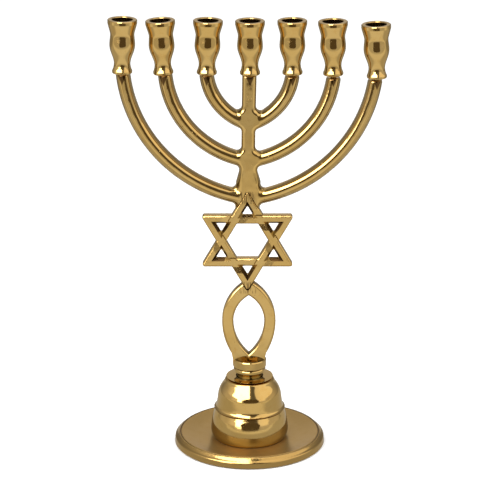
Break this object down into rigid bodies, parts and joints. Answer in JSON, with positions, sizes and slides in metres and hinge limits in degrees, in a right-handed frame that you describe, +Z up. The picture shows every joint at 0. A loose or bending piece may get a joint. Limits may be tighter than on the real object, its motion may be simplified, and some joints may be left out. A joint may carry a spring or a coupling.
{
  "type": "menorah",
  "caption": "Branched brass candelabrum with turned cups on curved arms, a woven star and pointed loop stem, and a bell-shaped turned base.",
  "frame": {"origin": "centre of the resting face, on the underside of the felt pad", "axes": "+Z up, the branches spread along X, the front faces -Y"},
  "size_m": [0.1853, 0.103, 0.2978],
  "materials": {
    "felt": "pressed wool felt",
    "brass_turned": "turned and mirror polished",
    "brass_cast": "cast, filed and hand polished",
    "brass_cup": "turned and polished, soot-dark inside",
    "thread_brass": "dull machined thread",
    "steel": "zinc-plated steel"
  },
  "bodies": {
    "stand": {"felt_pad": "felt", "base_flange": "brass_turned", "base_bulb": "brass_turned", "base_bell": "brass_turned", "neck_spool": "brass_turned", "tie_rod": "steel", "tie_washer": "steel", "tie_nut": "steel", "star": "brass_cast", "fish_loop": "brass_cast", "candelabrum": "brass_cast"},
    "stud_1": {"stud_1": "thread_brass"},
    "cup_1": {"cup_1": "brass_cup"},
    "stud_2": {"stud_2": "thread_brass"},
    "cup_2": {"cup_2": "brass_cup"},
    "stud_3": {"stud_3": "thread_brass"},
    "cup_3": {"cup_3": "brass_cup"},
    "stud_4": {"stud_4": "thread_brass"},
    "cup_4": {"cup_4": "brass_cup"},
    "stud_5": {"stud_5": "thread_brass"},
    "cup_5": {"cup_5": "brass_cup"},
    "stud_6": {"stud_6": "thread_brass"},
    "cup_6": {"cup_6": "brass_cup"},
    "stud_7": {"stud_7": "thread_brass"},
    "cup_7": {"cup_7": "brass_cup"}
  },
  "joints": [
    {"name": "cup_1_rise", "type": "slide", "parent": "stand", "child": "stud_1", "axis": [0.0192, 0, 0.9998], "range_m": [0, 0.0035]},
    {"name": "cup_1_turn", "type": "hinge", "parent": "stud_1", "child": "cup_1", "pos_m": [-0.0837, 0, 0.26165], "axis": [0.0192, 0, 0.9998], "range_deg": [0, 1800.5]},
    {"name": "cup_2_rise", "type": "slide", "parent": "stand", "child": "stud_2", "axis": [-0.0506, 0, 0.9987], "range_m": [0, 0.0035]},
    {"name": "cup_2_turn", "type": "hinge", "parent": "stud_2", "child": "cup_2", "pos_m": [-0.0566, 0, 0.2611], "axis": [-0.0506, 0, 0.9987], "range_deg": [0, 1800.5]},
    {"name": "cup_3_rise", "type": "slide", "parent": "stand", "child": "stud_3", "axis": [0.0279, 0, 0.9996], "range_m": [0, 0.0035]},
    {"name": "cup_3_turn", "type": "hinge", "parent": "stud_3", "child": "cup_3", "pos_m": [-0.0281, 0, 0.26105], "axis": [0.0279, 0, 0.9996], "range_deg": [0, 1800.5]},
    {"name": "cup_4_rise", "type": "slide", "parent": "stand", "child": "stud_4", "axis": [0, 0, 1], "range_m": [0, 0.0035]},
    {"name": "cup_4_turn", "type": "hinge", "parent": "stud_4", "child": "cup_4", "pos_m": [0.0003, 0, 0.26075], "axis": [0, 0, 1], "range_deg": [0, 1800.5]},
    {"name": "cup_5_rise", "type": "slide", "parent": "stand", "child": "stud_5", "axis": [-0.0087, 0, 1], "range_m": [-0.001, 0.0035]},
    {"name": "cup_5_turn", "type": "hinge", "parent": "stud_5", "child": "cup_5", "pos_m": [0.0282, 0, 0.261], "axis": [-0.0087, 0, 1], "range_deg": [-514.79, 1800.5]},
    {"name": "cup_6_rise", "type": "slide", "parent": "stand", "child": "stud_6", "axis": [-0.0157, 0, 0.9999], "range_m": [-0.0016, 0.0035]},
    {"name": "cup_6_turn", "type": "hinge", "parent": "stud_6", "child": "cup_6", "pos_m": [0.055, 0, 0.2604], "axis": [-0.0157, 0, 0.9999], "range_deg": [-823.36, 1800.5]},
    {"name": "cup_7_rise", "type": "slide", "parent": "stand", "child": "stud_7", "axis": [-0.0297, 0, 0.9996], "range_m": [-0.001, 0.0035]},
    {"name": "cup_7_turn", "type": "hinge", "parent": "stud_7", "child": "cup_7", "pos_m": [0.0837, 0, 0.2584], "axis": [-0.0297, 0, 0.9996], "range_deg": [-514.79, 1800.5]}
  ],
  "couplings": [
    {"joint": "cup_1_turn", "follows": "cup_1_rise", "rad_per_m": 8976},
    {"joint": "cup_2_turn", "follows": "cup_2_rise", "rad_per_m": 8976},
    {"joint": "cup_3_turn", "follows": "cup_3_rise", "rad_per_m": 8976},
    {"joint": "cup_4_turn", "follows": "cup_4_rise", "rad_per_m": 8976},
    {"joint": "cup_5_turn", "follows": "cup_5_rise", "rad_per_m": 8976},
    {"joint": "cup_6_turn", "follows": "cup_6_rise", "rad_per_m": 8976},
    {"joint": "cup_7_turn", "follows": "cup_7_rise", "rad_per_m": 8976}
  ]
}
